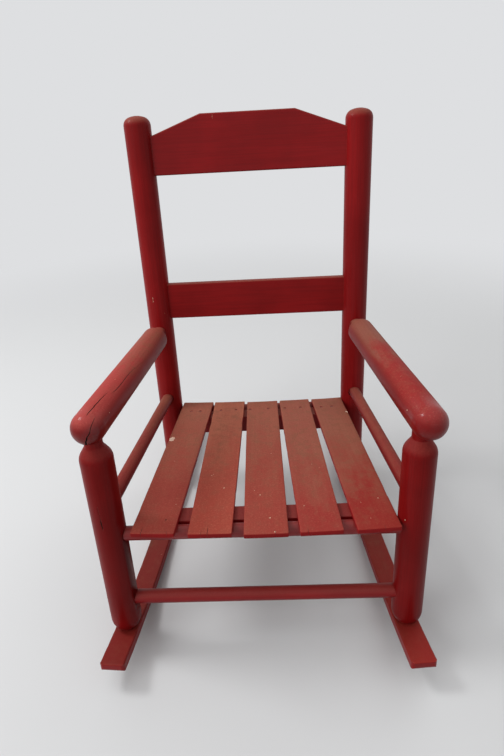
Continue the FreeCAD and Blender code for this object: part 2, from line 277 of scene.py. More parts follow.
class Finish(Tree):
    """A material with its main shader."""

    def __init__(self, name):
        self.material = bpy.data.materials.new(name)
        self.material.use_nodes = True
        super().__init__(self.material.node_tree)
        self.shader = self.tree.nodes["Principled BSDF"]

    def place(self):
        return self.node("ShaderNodeTexCoord", output="Object")

    def set(self, **values):
        """Feed the shader's sockets; an underscore in a name stands for a space."""
        for key, value in values.items():
            self.feed(self.shader.inputs[key.replace("_", " ")], value)
        return self.material


print("wires know + - and *")

# %% [markdown]
# ## Red paint on wood
# Darker crimsons on the front posts, the arms and the side rungs are painted shade.
#
# The whole chair was brushed with one thin red, and time changed it by place. Upright faces stayed a
# deep crimson with a low gloss. Faces that look up faded to a soft brick red near the front, and
# towards the back, where no one wipes, they turned brown with dust and grit. Under the paint the grain
# still shows as fine lines that run along each piece.
#
# A picture of the wood would fix all that in one view only. Instead the finish is worked out from what
# each point of the surface knows: where it lies along and across the piece's grain, how far back it is,
# how far it faces up, and how sharp the edge beside it is.

# %% Colours of the paint
CRIMSON = screen(137, 20, 23)
POST_CRIMSON = screen(130, 19, 21)
# Darker crimson for the side rungs: painted shade
SIDE_RUNG_SHADE_CRIMSON = screen(112, 18, 18)
# Darker crimson for the front posts and the arms' sides: painted shade
SHADED_CRIMSON = screen(117, 13, 14)
DUST = screen(136, 84, 64)
RUBBED = screen(172, 92, 80)
BARE_WOOD = screen(226, 196, 168)
DARK_WOOD = screen(34, 13, 12)
# Faded paint on faces that look up: its colour near the front and its colour at the back. For the arms
# and runners these colours also hold painted light and shade
SEAT_FADED = (screen(152, 62, 52), screen(152, 86, 68))
RUNG_FADED = (screen(134, 47, 43), screen(134, 66, 54))
# Arms: a pale pink front of faded paint and painted sheen, dust at the back; left lighter as painted light
ARM_FADE_AND_SHEEN = {
    "left": (screen(172, 62, 59), screen(157, 79, 67)),
    "right": (screen(149, 43, 41), screen(141, 86, 72)),
}
# Runners: darker and browner at the back; left darker as painted shade, right lighter as painted light
RUNNER_TONES_AND_SIDE_LIGHT = {
    "left": (screen(122, 32, 27), screen(90, 44, 34)),
    "right": (screen(140, 38, 32), screen(116, 54, 43)),
}
print("crimson, linear:", [round(c, 3) for c in CRIMSON[:3]])

# %% What weathers the paint
MOTTLE_PER_M = 13.0
SMUDGE_PER_M = 46.0
SMUDGE_STRETCH_SHARE = 0.33
STREAK_PER_M = 700.0
STREAK_STRETCH_SHARE = 0.02
BLOTCH_PER_M = 95.0
GRIT_PER_M = 540.0
# Where in its noise each mark starts to show, and where it shows in full
MOTTLE_RANGE = (0.35, 0.68)
SMUDGE_RANGE = (0.38, 0.64)
LINE_RANGE = (0.36, 0.6)
BLOTCH_RANGE = (0.46, 0.64)
PALE_GRIT_RANGE = (0.52, 0.72)
DARK_GRIT_RANGE = (0.28, 0.48)


def stretched(finish, place, along, across, share):
    """Place across, through and along the grain, so scaled that noise in it makes long lines."""
    through = along.cross(across).normalized()
    return finish.node("ShaderNodeCombineXYZ", {}, {
        "X": finish.dot(place, across),
        "Y": finish.dot(place, through),
        "Z": finish.dot(place, along) * share,
    })


class Weather:
    """What the paint knows at each point of one piece: its place, its normal and noises from 0 to 1."""

    def __init__(self, finish, along, across):
        self.place = finish.place()
        self.normal = finish.node("ShaderNodeNewGeometry", output="Normal")
        self.behind = finish.dot(self.place, back) - seat_edge.dot(back)
        smudge_place = stretched(finish, self.place, along, across, SMUDGE_STRETCH_SHARE)
        streak_place = stretched(finish, self.place, along, across, STREAK_STRETCH_SHARE)
        self.mottle = finish.ramp(finish.noise(self.place, MOTTLE_PER_M), *MOTTLE_RANGE)
        self.smudge = finish.ramp(finish.noise(smudge_place, SMUDGE_PER_M, 5.0, 0.62), *SMUDGE_RANGE)
        self.streak = finish.noise(streak_place, STREAK_PER_M, 2.0)
        self.lines = finish.ramp(self.streak, *LINE_RANGE)
        self.blotch = finish.ramp(finish.noise(self.place, BLOTCH_PER_M, 4.0, 0.65), *BLOTCH_RANGE)
        self.grit = finish.noise(self.place, GRIT_PER_M, 2.0, 0.75)


print("grain lines about", round(1 / STREAK_PER_M / MM, 1), "mm apart")

# %% Clean paint, worn paint and rubbed edges
# Each mark lightens or darkens the paint by a gain, and covers what is under it by a share
MOTTLE_GAINS = (0.91, 1.13)
LINE_GAIN = 0.55
LINE_SHARE = 0.28
SMUDGE_GAINS = (0.84, 0.92)
SMUDGE_SHARE = 0.22
WORN_LINE_GAIN = 0.9
WORN_LINE_SHARE = 0.16
GRIT_GAINS = (1.5, 0.5)
FRONT_DUST_SHARE = 0.3
# Metres by which smudges shift the fade, and the least that an edge between smudges is rubbed
FADE_RAGGED = 0.07
EDGE_LEAST_SHARE = 0.35
EDGE_ROUND = 1.4 * MM
EDGE_RANGE = (0.04, 0.2)


def clean_paint(finish, weather, red, brush):
    """Paint on upright faces: mottled, with darker lines along the grain."""
    mottled = finish.mix(weather.mottle, *(gained(red, gain) for gain in MOTTLE_GAINS))
    return finish.mix((1 - weather.lines) * LINE_SHARE * brush, mottled, gained(red, LINE_GAIN))


def worn_paint(finish, weather, red, faded, reach, dust, grit, brush):
    """Paint on faces that look up: faded towards the back, smudged, dusty, brushed and gritty."""
    front, rear = faded
    far = finish.ramp(weather.behind + (weather.smudge - 0.5) * FADE_RAGGED, *reach)
    smudged = finish.mix(weather.mottle, gained(rear, SMUDGE_GAINS[0]), gained(front, SMUDGE_GAINS[1]))
    dusty = weather.blotch * (FRONT_DUST_SHARE + far * (1 - FRONT_DUST_SHARE)) * dust
    pale_grit = finish.ramp(weather.grit, *PALE_GRIT_RANGE) * grit
    dark_grit = (1 - finish.ramp(weather.grit, *DARK_GRIT_RANGE)) * grit
    worn = finish.mix(far, front, rear)
    worn = finish.mix((1 - weather.smudge) * SMUDGE_SHARE, worn, smudged)
    worn = finish.mix(dusty, worn, DUST)
    worn = finish.mix((1 - weather.lines) * WORN_LINE_SHARE * brush, worn, gained(red, WORN_LINE_GAIN))
    worn = finish.mix(pale_grit, worn, gained(rear, GRIT_GAINS[0]))
    return finish.mix(dark_grit, worn, gained(rear, GRIT_GAINS[1]))


def rubbed_edges(finish, weather):
    """1 beside sharp edges, which a rounded normal finds, and 0 on flat or turned faces."""
    rounded = finish.node("ShaderNodeBevel", {"samples": 4}, {"Radius": EDGE_ROUND})
    sharpness = 1 - finish.dot(weather.normal, rounded)
    return finish.ramp(sharpness * (EDGE_LEAST_SHARE + weather.smudge), *EDGE_RANGE)


print("edges are rubbed within", EDGE_ROUND / MM, "mm")

# %% Knocks in the paint
SPECK_CELLS_PER_M = 75.0
SPECK_R = 0.5 * MM
SPECK_CHANCE = 0.06
CHIP_PER_M = 800.0
CHIP_RAGGED = 1.4
CHIP_SHIFT = 0.5


def rare_specks(finish, place, amount):
    """Tiny round spots in a few of many random cells."""
    cells = {"feature": "F1", "distance": "EUCLIDEAN"}
    inputs = {"Vector": place, "Scale": SPECK_CELLS_PER_M}
    away = finish.node("ShaderNodeTexVoronoi", cells, inputs, "Distance")
    tint = finish.node("ShaderNodeTexVoronoi", cells, inputs, "Color")
    chance = finish.node("ShaderNodeSeparateColor", {}, {"Color": tint}, "Red")
    return away.below(SPECK_R * SPECK_CELLS_PER_M) * chance.below(SPECK_CHANCE * amount)


def knocked_paint(finish, place, specks, chips):
    """1 inside rare specks and inside ragged chips, each given by a centre and a radius."""
    knocks = rare_specks(finish, place, specks)
    if chips:
        ragged = finish.noise(place, CHIP_PER_M, 3.0) * CHIP_RAGGED - CHIP_SHIFT
        for centre, radius in chips:
            away = finish.vector("DISTANCE", place, tuple(centre), "Value")
            knocks = knocks.most((away + ragged * radius).below(radius))
    return knocks


print("a speck's radius in mm:", SPECK_R / MM)

# %% The paint
FADE_REACH = (0.02, 0.24)
LEVEL_RANGE = (0.22, 0.86)
EDGE_SHARE = 0.32
KNOCK_SHARE = 0.85
SKIN_ROUGH = 0.17
SKIN_LEAST_SHARE = 0.4
SKIN_FADE = 0.04
# Roughness added on faces that look up, in smudges and in knocks
LEVEL_ROUGH = 0.22
SMUDGE_ROUGH = 0.06
KNOCK_ROUGH = 0.3
# Height of each mark, in units of the bump's height
STREAK_RELIEF = 0.5
GRIT_RELIEF = 0.2
SMUDGE_RELIEF = 0.5
KNOCK_RELIEF = 2.0
BUMP_HEIGHT = 0.1 * MM
BUMP_STRENGTH = 0.5


def painted(name, along, across, red=CRIMSON, faded=RUNG_FADED, top_wear=0.5, reach=FADE_REACH, gloss=0.38,
            mirror=0.28, shine=0.0, shine_end=None, dust=0.1, grit=0.2, brush=1.0, specks=0.4, chips=()):
    """Old red paint on a piece whose grain runs along one direction.

    top_wear is how far faces that look up have faded, and reach the two distances behind the front posts
    between which the fade turns from its front to its rear colour. gloss is the roughness of clean paint,
    mirror how much it reflects, and shine the weight of its clear skin, which ends at shine_end. dust
    gives brown blotches, grit pale and dark grains, brush lines along the grain, and specks tiny knocks.
    chips are single knocks, each a centre and a radius.
    """
    finish = Finish(name)
    weather = Weather(finish, along, across)
    dull = finish.ramp(finish.dot(weather.normal, (0, 0, 1)), *LEVEL_RANGE) * top_wear
    knocks = knocked_paint(finish, weather.place, specks, chips)
    clean = clean_paint(finish, weather, red, brush)
    colour = finish.mix(dull, clean, worn_paint(finish, weather, red, faded, reach, dust, grit, brush))
    colour = finish.mix(rubbed_edges(finish, weather) * EDGE_SHARE, colour, RUBBED)
    colour = finish.mix(knocks * KNOCK_SHARE, colour, BARE_WOOD)

    skin_left = (1 - knocks) * (SKIN_LEAST_SHARE + weather.smudge * (1 - SKIN_LEAST_SHARE)) * shine
    if shine_end is not None:
        skin_left = skin_left * (1 - finish.ramp(weather.behind, shine_end - SKIN_FADE, shine_end))
    rough = gloss + dull * LEVEL_ROUGH + weather.smudge * SMUDGE_ROUGH + knocks * KNOCK_ROUGH
    relief = weather.streak * STREAK_RELIEF + weather.grit * (GRIT_RELIEF + grit)
    relief = relief + weather.smudge * SMUDGE_RELIEF - knocks * KNOCK_RELIEF
    inputs = {"Strength": BUMP_STRENGTH, "Distance": BUMP_HEIGHT, "Height": relief}
    bump = finish.node("ShaderNodeBump", {}, inputs)
    return finish.set(Base_Color=colour, Roughness=rough, Normal=bump, Specular_IOR_Level=mirror,
                      Coat_Weight=skin_left, Coat_Roughness=SKIN_ROUGH)


print("the fade in metres behind the front posts:", FADE_REACH)

# %% [markdown]
# ## Bare and broken wood
#
# Inside a crack the wood is painted very dark, and a fresh knock shows pale wood.
# Both are finishes of their own, which the knives carry into the cut. The nails were painted with the
# seat: near the front they are its colour, and at the back, where the paint has gone, they are brown
# and spotted with rust.

# %% Crack wood, fresh wood and painted nails
FIBRES_PER_M = 1500.0
FIBRE_RANGE = (0.35, 0.7)
WOOD_ROUGH = 0.85
RUST_PER_M = 700.0
RUST_RANGE = (0.42, 0.6)
RUST_REACH = (0.1, 0.2)
NAIL_BROWN = (screen(136, 66, 52), screen(98, 46, 38))
NAIL_GAIN = 0.85
NAIL_ROUGH = 0.6
NAIL_METAL = 0.1


def wood(name, dark, light):
    """Bare wood with short fibres."""
    finish = Finish(name)
    fibres = finish.ramp(finish.noise(finish.place(), FIBRES_PER_M, 2.0), *FIBRE_RANGE)
    return finish.set(Base_Color=finish.mix(fibres, dark, light), Roughness=WOOD_ROUGH)


def nail_paint():
    finish = Finish("nail_paint")
    place = finish.place()
    spots = finish.ramp(finish.noise(place, RUST_PER_M, 3.0), *RUST_RANGE)
    behind = finish.ramp(finish.dot(place, back) - seat_edge.dot(back), *RUST_REACH)
    front = finish.mix(spots, SEAT_FADED[0], gained(SEAT_FADED[0], NAIL_GAIN))
    rear = finish.mix(spots, *NAIL_BROWN)
    return finish.set(Base_Color=finish.mix(behind, front, rear), Roughness=NAIL_ROUGH,
                      Metallic=behind * spots * NAIL_METAL)


crack_paint = wood("crack_wood", DARK_WOOD, screen(66, 26, 20))
fresh_wood = wood("fresh_wood", screen(204, 158, 132), screen(240, 220, 204))
nails_paint = nail_paint()
print("materials:", crack_paint.name, fresh_wood.name, nails_paint.name)

# %% [markdown]
# ## Tools for meshes
#
# A turned piece is an outline swung round an axis, and a plank is a rounded rectangle pulled along a
# line. Both make rings of points, so one function can skin them. Splits and dents are then cut with
# small knives by a Boolean, which keeps their edges crisp with few faces; a fine grid of points pushed
# about would need far more of them.

# %% Skin rings of points and cut a mesh
def skin(name, rings, placement, finish):
    """Closed mesh through rings of points, each ring as long as the others, with flat ends."""
    count = len(rings[0])
    points = [placement @ Vector(p) for ring in rings for p in ring]
    faces = [tuple(reversed(range(count)))]
    for ring in range(len(rings) - 1):
        for here in range(count):
            there = (here + 1) % count
            first, second = ring * count, (ring + 1) * count
            faces.append((first + here, first + there, second + there, second + here))
    faces.append(tuple(range((len(rings) - 1) * count, len(rings) * count)))
    mesh = bpy.data.meshes.new(name)
    mesh.from_pydata(points, [], faces)
    mesh.materials.append(finish)
    tidy_faces(mesh)
    return in_scene(name, mesh)


def tidy_faces(mesh, weld=0.0):
    """Turn all faces outward; points closer than weld become one."""
    work = bmesh.new()
    work.from_mesh(mesh)
    if weld:
        bmesh.ops.remove_doubles(work, verts=work.verts, dist=weld)
    bmesh.ops.recalc_face_normals(work, faces=work.faces)
    work.to_mesh(mesh)
    work.free()


SHARP_ANGLE = math.radians(38)


def shade(piece):
    """Smooth shading that stays crisp at real edges."""
    for face in piece.data.polygons:
        face.use_smooth = True
    piece.data.set_sharp_from_angle(angle=SHARP_ANGLE)


def stand_in(piece, node):
    """Shade a piece and put it in a frame node's place."""
    shade(piece)
    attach(piece, "root")
    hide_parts(node)


def carve(piece, knives):
    """Cut closed knife meshes out of a piece; the cut faces keep the knife's material."""
    for knife in knives:
        cut = piece.modifiers.new("carve", "BOOLEAN")
        cut.operation = "DIFFERENCE"
        cut.solver = "EXACT"
        cut.material_mode = "TRANSFER"
        cut.object = knife
    ready = piece.evaluated_get(bpy.context.evaluated_depsgraph_get())
    carved = bpy.data.meshes.new_from_object(ready)
    carved.name = piece.name
    piece.modifiers.clear()
    piece.data = carved
    for knife in knives:
        bpy.data.objects.remove(knife)


print("edges sharper than", round(math.degrees(SHARP_ANGLE)), "degrees stay crisp")

# %% Knives for cracks and for round holes
KNIFE_LIP = 0.8 * MM
KNIFE_TIP_WIDTH = 0.06 * MM
KNIFE_WIDTH_SHARES = (0.8, 1.2)
KNIFE_SIDEWAYS_SHARE = 0.25


def crack_knife(path, seed, finish):
    """Wedge that follows points of a surface, each with its outward normal, a width and a depth."""
    luck = random.Random(seed)
    rings = []
    for index, (point, out, width, depth) in enumerate(path):
        before = path[max(index - 1, 0)][0]
        after = path[min(index + 1, len(path) - 1)][0]
        side = out.cross(after - before).normalized()
        wide = max(width * luck.uniform(*KNIFE_WIDTH_SHARES), KNIFE_TIP_WIDTH)
        at_lip = wide / 2 * (depth + KNIFE_LIP) / depth
        centre = point + side * luck.uniform(-KNIFE_SIDEWAYS_SHARE, KNIFE_SIDEWAYS_SHARE) * wide
        lip = centre + out * KNIFE_LIP
        rings.append([lip - side * at_lip, lip + side * at_lip, centre - out * depth])
    return skin("crack_knife", rings, Matrix(), finish)


def round_knife(outline, placement, finish, sides=24):
    """Turned knife from radius and height pairs, for holes and dents."""
    rings = []
    for radius, height in outline:
        rings.append([Vector((radius * math.cos(a), radius * math.sin(a), height))
                      for a in (2 * math.pi * i / sides for i in range(sides))])
    return skin("round_knife", rings, placement, finish)


def spaced(marks, step):
    """Marks a step apart along straight runs between the given ones; each is a tuple of numbers."""
    result = [marks[0]]
    for start, end in zip(marks, marks[1:]):
        pieces = max(1, round(math.dist(start[:2], end[:2]) / step))
        for piece in range(1, pieces + 1):
            result.append(tuple(a + (b - a) * piece / pieces for a, b in zip(start, end)))
    return result


def crack_path(place, marks, step):
    """Crack knife path from marks of two places, a width and a depth; place gives point and normal."""
    return [(*place(a, b), wide * MM, deep * MM) for a, b, wide, deep in spaced(marks, step)]


print("a knife starts", KNIFE_LIP / MM, "mm above the surface")

# %% [markdown]
# ## Arms
#
# Each arm is a thick dowel with a ball turned at the front and a cone at the back that ends in a
# tenon. A dowel dries from its ends, so the left one has opened: a check runs back along the top, a
# second one carries on beside it, and a wide one splits the ball. Both follow the frame's outline with
# closer rings, a rounder cone and a wall that is not quite even, as brushed paint on turned wood is.
# Below, each has the round hole that the front post's neck sits in.

# %% The shape of an arm
NECK_R = 9.5 * MM
FIT = 0.15 * MM
POST_TENON_REACH = 16 * MM
CONE_LENGTH = 13 * MM
REAR_NECK_LENGTH = 13 * MM
TENON_DEPTH = 14 * MM
ARM_SIDES = 96
RING_STEP = 3 * MM
WALL_WAVE = 0.14 * MM
WAVE_PER_M = 45
BALL_STEPS = 14
CONE_SHARES = (0.0, 0.12, 0.25, 0.4, 0.6, 0.8, 1.0)
CONE_BULGE = {"left": 0.38, "right": 0.75}


class Arm:
    """Axis of one arm, from the tip of its ball back to the rear post."""

    def __init__(self, side):
        low, high = chair_box("arm_" + side)
        outer = high.x - POST_R if side == "right" else low.x + POST_R
        ball = Vector((outer, low.y + POST_R, high.z - POST_R))
        post_x = (to_chair @ middle("rear_post_" + side)).x
        post = Vector((post_x, chair_box("rear_seat_rung")[0].y + RUNG_R, ball.z))
        self.along = (post - ball).normalized()
        self.tip = ball - self.along * POST_R
        self.length = (post - self.tip).length - POST_R
        self.across = self.along.cross(Vector((0, 0, 1))).normalized()
        self.lift = self.across.cross(self.along).normalized()
        self.placement = axes_at(self.across, self.lift, self.along, self.tip)

    def surface(self, along, angle):
        """Point on the wall at millimetres from the tip and degrees from the top, and its normal."""
        distance = along * MM
        reach = max(POST_R - distance, 0)
        radius = math.sqrt(max(POST_R ** 2 - reach ** 2, 0))
        turned = math.radians(angle)
        radial = self.lift * math.cos(turned) + self.across * math.sin(turned)
        point = self.tip + self.along * distance + radial * radius
        centre = self.tip + self.along * max(distance, POST_R)
        return chair @ point, chair_turn @ (point - centre).normalized()

    def face(self, across, lift):
        """Point on the ball at millimetres across and up from its tip, and its normal."""
        depth = math.sqrt(max(POST_R ** 2 - (across ** 2 + lift ** 2) * MM ** 2, 0))
        out = self.across * (across * MM) + self.lift * (lift * MM) - self.along * depth
        return chair @ (self.tip + self.along * POST_R + out), chair_turn @ out.normalized()


def arm_outline(length, bulge):
    """Radius and height pairs from the ball's tip to the end of the tenon; bulge rounds the cone."""
    outline = []
    for step in range(1, BALL_STEPS + 1):
        angle = math.pi / 2 * step / BALL_STEPS
        outline.append((POST_R * math.sin(angle), POST_R * (1 - math.cos(angle))))
    cone_start = length - REAR_NECK_LENGTH - CONE_LENGTH
    height = POST_R
    while height < cone_start - RING_STEP:
        height += RING_STEP
        outline.append((POST_R, height))
    for share in CONE_SHARES:
        radius = POST_R - (POST_R - NECK_R) * ((1 - bulge) * share + bulge * share ** 2)
        outline.append((radius, cone_start + CONE_LENGTH * share))
    outline.append((NECK_R, length - REAR_NECK_LENGTH / 2))
    outline.append((NECK_R, length + TENON_DEPTH))
    return outline


def turned_rings(outline):
    """Rings of an arm, each pushed in a little here and there by smooth noise."""
    rings = []
    for radius, height in outline:
        ring = []
        for index in range(ARM_SIDES):
            angle = 2 * math.pi * index / ARM_SIDES
            point = Vector((radius * math.cos(angle), radius * math.sin(angle), height))
            wave = (noise.noise(point * WAVE_PER_M) - 1) / 2 * WALL_WAVE
            ring.append(point + Vector((point.x, point.y, 0)).normalized() * wave)
        rings.append(ring)
    return rings


print("an arm has", ARM_SIDES, "sides")

# %% Build the arms
CHECK_STEP = 2.5
BALL_CHECK_STEP = 1.5
# Checks in the wall: from the tip, angle from the top, width and depth of each mark
LEFT_CHECKS = (
    ((11, 10, 0.1, 1), (14, 11.5, 0.7, 2.5), (26, 13.8, 1.0, 4), (40, 15.2, 0.95, 4), (54, 17.7, 0.7, 3),
     (65, 20.5, 0.08, 1)),
    ((64, 33, 0.1, 1), (72, 36.9, 0.45, 2), (82, 39.5, 0.65, 2.5), (99, 40.9, 0.7, 2.5),
     (114, 40.3, 0.55, 2.5), (128, 42, 0.35, 2), (147, 48, 0.14, 1.2), (179, 62, 0.07, 0.8)),
)
# Check in the ball's face: across and up from the tip, width and depth of each mark
BALL_CHECK = (
    (10.7, 13.6, 0.15, 1), (10.3, 11.7, 0.5, 2.5), (9.3, 9.3, 0.6, 3), (8.5, 6.2, 0.7, 3.5),
    (7.7, 2.9, 0.9, 4), (6.2, 0.1, 1.1, 4.5), (4.3, -2.8, 1.4, 5), (2.5, -7.1, 1.8, 5),
    (0.6, -11.4, 2.2, 5), (-0.3, -15, 2.0, 4.5), (-0.6, -17, 0.6, 2),
)
# Chips: from the tip, angle from the top and radius
ARM_CHIPS = {"left": ((22, -20, 0.5), (96, 12, 0.4)), "right": ((34, -71, 0.9), (90, -20, 0.4))}


def build_arm(side, checks, ball_check):
    arm = Arm(side)
    knocks = [(arm.surface(a, angle)[0], r * MM) for a, angle, r in ARM_CHIPS[side]]
    # Darker crimson on the arm's sides is painted shade; its top colours hold painted sheen and light
    finish = painted("arm_paint_" + side, chair_turn @ arm.along, chair_turn @ arm.across,
                     red=SHADED_CRIMSON, faded=ARM_FADE_AND_SHEEN[side], top_wear=0.95, reach=(0.09, 0.16),
                     gloss=0.42, mirror=0.11, shine=0.6, shine_end=0.012, dust=0.5, grit=0.35, brush=0.6,
                     specks=0.8, chips=knocks)
    rings = turned_rings(arm_outline(arm.length, CONE_BULGE[side]))
    piece = skin("arm_" + side + "_turned", rings, chair @ arm.placement, finish)
    paths = [crack_path(arm.surface, marks, CHECK_STEP) for marks in checks]
    if ball_check:
        paths.append(crack_path(arm.face, ball_check, BALL_CHECK_STEP))
    knives = [crack_knife(cut, seed, crack_paint) for seed, cut in enumerate(paths)]
    carve(piece, knives + [neck_hole(side, finish)])
    stand_in(piece, "arm_" + side)
    print(piece.name, "length in mm:", round(arm.length / MM), " faces:", len(piece.data.polygons))


def front_post_top(side):
    low, high = chair_box("front_post_" + side)
    return Vector(((low.x + high.x) / 2, (to_chair @ middle("front_stretcher")).y, high.z))


def neck_hole(side, finish):
    """Knife for the hole under an arm that takes the front post's neck."""
    outline = ((NECK_R + FIT, -POST_TENON_REACH * 2), (NECK_R + FIT, 0))
    placement = chair @ Matrix.Translation(front_post_top(side))
    return round_knife(outline, placement, finish, ARM_SIDES // 2)


build_arm("left", LEFT_CHECKS, BALL_CHECK)
build_arm("right", (), ())

# %% [markdown]
# ## Seat slats
#
# Five thin strips are nailed flat to the battens and fan out to the front. Thin wood nailed at its
# ends cups across and waves along, its sawn ends split, and the hammer left each nail head just under
# the surface. So each slat is a plank of many stations, shaped by smooth noise with a seed of its own.
# A turned knife at each nail makes room for its shank and head. At the back it opens a dent in the
# top, and near the front it stops just below, because paint fills the dent there.

# %% Find the nails and the slats' axes
NAIL_GROUP = 6 * MM
NAIL_RIM = 4 * MM
SLAT_END_SHARE = 0.02


def nail_places():
    """Top middle of each nail, in the chair's directions."""
    groups = []
    for vertex in nodes["seat_slat_nails"].data.vertices:
        point = to_chair @ vertex.co
        for group in groups:
            if (group[0] - point).xy.length < NAIL_GROUP:
                group.append(point)
                break
        else:
            groups.append([point])
    places = []
    for group in groups:
        low, high = corners(group)
        places.append(Vector(((low.x + high.x) / 2, (low.y + high.y) / 2, high.z)))
    return places


class Slat:
    """Directions, size and nails of one slat, read from its node's own corners."""

    def __init__(self, node, nails):
        points = [to_chair @ v.co for v in nodes[node].data.vertices]
        low, high = corners(points)
        depth = high.y - low.y
        front = [p.x for p in points if p.y < low.y + depth * SLAT_END_SHARE]
        rear = [p.x for p in points if p.y > high.y - depth * SLAT_END_SHARE]
        front_middle = Vector(((min(front) + max(front)) / 2, low.y, 0))
        rear_middle = Vector(((min(rear) + max(rear)) / 2, high.y, 0))
        self.along = (rear_middle - front_middle).normalized()
        self.across = Vector((self.along.y, -self.along.x, 0))
        runs = [(p - front_middle).dot(self.along) for p in points]
        sides = [(p - front_middle).dot(self.across) for p in points]
        centre = (max(sides) + min(sides)) / 2
        self.length = max(runs) - min(runs)
        self.width = max(sides) - min(sides)
        self.nails = [n for n in nails if any((p - n).xy.length < NAIL_RIM for p in points)]
        start = front_middle + self.along * min(runs) + self.across * centre
        self.placement = axes_at(self.across, self.along, Vector((0, 0, 1)), start)

    def top(self, across, along):
        """Point on the top at millimetres across and along from its front middle, and its normal."""
        return chair @ self.placement @ Vector((across * MM, along * MM, 0)), up


nails = nail_places()
print("nails:", len(nails), " top below the seat in mm:", round(-max(n.z for n in nails) / MM, 2))

# %% The shape of a slat
SLAT_ROUND = 1.1 * MM
STATION_STEP = 5 * MM
CUP = 0.22 * MM
SOFT_SHARES = (0.0, 0.13, 0.3, 0.5, 0.75, 1.0)
FLAT_STEPS = 10
ARC_STEPS = 4
# Smooth noise lifts each slat, and sharper noise nicks its long edges only
SLAT_WAVE = 0.3 * MM
WAVE_ACROSS = 0.3
WAVE_ALONG_PER_M = 9
NICK = 1.3 * MM
NICK_START = 0.35
NICK_ACROSS_PER_M = 9
NICK_ALONG_PER_M = 60
NICK_EDGE_POWER = 9
SEED_SHIFTS = (3.7, 1.9, 5.3)


def rounded_ring(half_width, half_height, corner, y):
    """Rounded rectangle across the grain, with points along its long sides too."""
    ring = []
    for quarter, (sx, sz) in enumerate(((1, -1), (1, 1), (-1, 1), (-1, -1))):
        for step in range(ARC_STEPS + 1):
            angle = math.pi / 2 * (quarter - 1 + step / ARC_STEPS)
            ring.append(Vector((sx * (half_width - corner) + corner * math.cos(angle), y,
                                sz * (half_height - corner) + corner * math.sin(angle))))
        if quarter in (1, 3):
            run = sx * (half_width - corner)
            for step in range(1, FLAT_STEPS):
                ring.append(Vector((run * (1 - 2 * step / FLAT_STEPS), y, sz * half_height)))
    return ring


def plank_rings(length, width, seed):
    """Rings of a plank that starts at zero, with its top at zero, softened at both ends."""
    soft = [SLAT_ROUND * share for share in SOFT_SHARES]
    stations = soft + [SLAT_ROUND + STATION_STEP * i for i in range(1, int(length / STATION_STEP))]
    stations = [s for s in stations if s < length - STATION_STEP / 2] + [length - s for s in reversed(soft)]
    shift = Vector([seed * step for step in SEED_SHIFTS])
    rings = []
    for y in stations:
        from_end = min(y, length - y, SLAT_ROUND)
        inset = SLAT_ROUND - math.sqrt(SLAT_ROUND ** 2 - (SLAT_ROUND - from_end) ** 2)
        ring = rounded_ring(width / 2 - inset, SLAT_THICKNESS / 2 - inset, SLAT_ROUND, y)
        for point in ring:
            share = 2 * point.x / width
            bow = noise.noise(Vector((share * WAVE_ACROSS, y * WAVE_ALONG_PER_M, 0)) + shift)
            bow = (bow + 1) / 2 * SLAT_WAVE
            nick = noise.noise(Vector((point.x * NICK_ACROSS_PER_M, y * NICK_ALONG_PER_M, 0)) + shift)
            nick = max(0, nick - NICK_START) * abs(share) ** NICK_EDGE_POWER
            point.x -= math.copysign(nick * NICK, point.x)
            point.z += CUP * share ** 2 + bow - SLAT_THICKNESS / 2
        rings.append(ring)
    return rings


print("a slat's station step in mm:", STATION_STEP / MM)

# %% Knives for nails, splits and knocked edges
SHANK_HOLE_R = 1.05 * MM
SHANK_DEPTH = 9 * MM
HEAD_HOLE_R = 2.25 * MM
HEAD_DEPTH = 1.25 * MM
PAINT_OVER_NAIL = 0.04 * MM
FRONT_NAILS_END = 140 * MM
# A dent at the back widens from just below the slat's top, and its knife goes on straight up
DENT_R = 1.06 * HEAD_HOLE_R
DENT_BELOW = 0.1 * MM
DENT_ABOVE = 0.4 * MM
DENT_LIP = 1.5 * MM
# A split in millimetres: it starts before the slat's end, bends a little and closes at its tip
SPLIT_BEFORE = 2
SPLIT_DEPTH = 5
SPLIT_BEND = 0.3
SPLIT_MIDDLE_SHARE = 0.7
SPLIT_TIP = (0.08, 2)
SPLIT_STEP = 1.5
KNOCK_DEPTH = 1.1 * MM


def nail_knife(place, finish):
    """Room for one nail; it opens the slat's top only at the back, where the paint leaves a dent."""
    outline = [(SHANK_HOLE_R, -SHANK_DEPTH), (SHANK_HOLE_R, -HEAD_DEPTH), (HEAD_HOLE_R, -HEAD_DEPTH)]
    if place.y < FRONT_NAILS_END:
        outline.append((HEAD_HOLE_R, place.z + PAINT_OVER_NAIL))
    else:
        outline += [(HEAD_HOLE_R, -DENT_BELOW), (DENT_R, DENT_ABOVE), (DENT_R, DENT_LIP)]
    return round_knife(outline, chair @ Matrix.Translation((place.x, place.y, 0)), finish)


def split_knife(slat, share, run, wide, seed):
    """Split in a slat's front end at a share of its width."""
    x = (share - 0.5) * slat.width / MM
    middle_mark = (x + SPLIT_BEND, run / 2, wide * SPLIT_MIDDLE_SHARE, SPLIT_DEPTH)
    marks = ((x, -SPLIT_BEFORE, wide, SPLIT_DEPTH), middle_mark, (x, run, *SPLIT_TIP))
    return crack_knife(crack_path(slat.top, marks, SPLIT_STEP), seed, crack_paint)


def edge_knock(marks, seed):
    """Shallow ragged knife that opens fresh wood along a slat's edge; each mark has half its width."""
    path = [(on_chair(x, y, 0), up, half * 2 * MM, KNOCK_DEPTH) for x, y, half in marks]
    return crack_knife(path, seed, fresh_wood)


print("the seat of a nail's head is", HEAD_DEPTH / MM, "mm deep")

# %% Build the slats
# Splits in the front end: place as a share of the slat's width, length and width
SLAT_SPLITS = {
    1: ((0.24, 11, 0.55), (0.83, 4, 0.4)),
    2: ((0.44, 12, 0.6), (0.30, 5, 0.35)),
    3: ((0.70, 5, 0.35),),
    4: ((0.18, 6, 0.4),),
    5: ((0.62, 5, 0.35),),
}
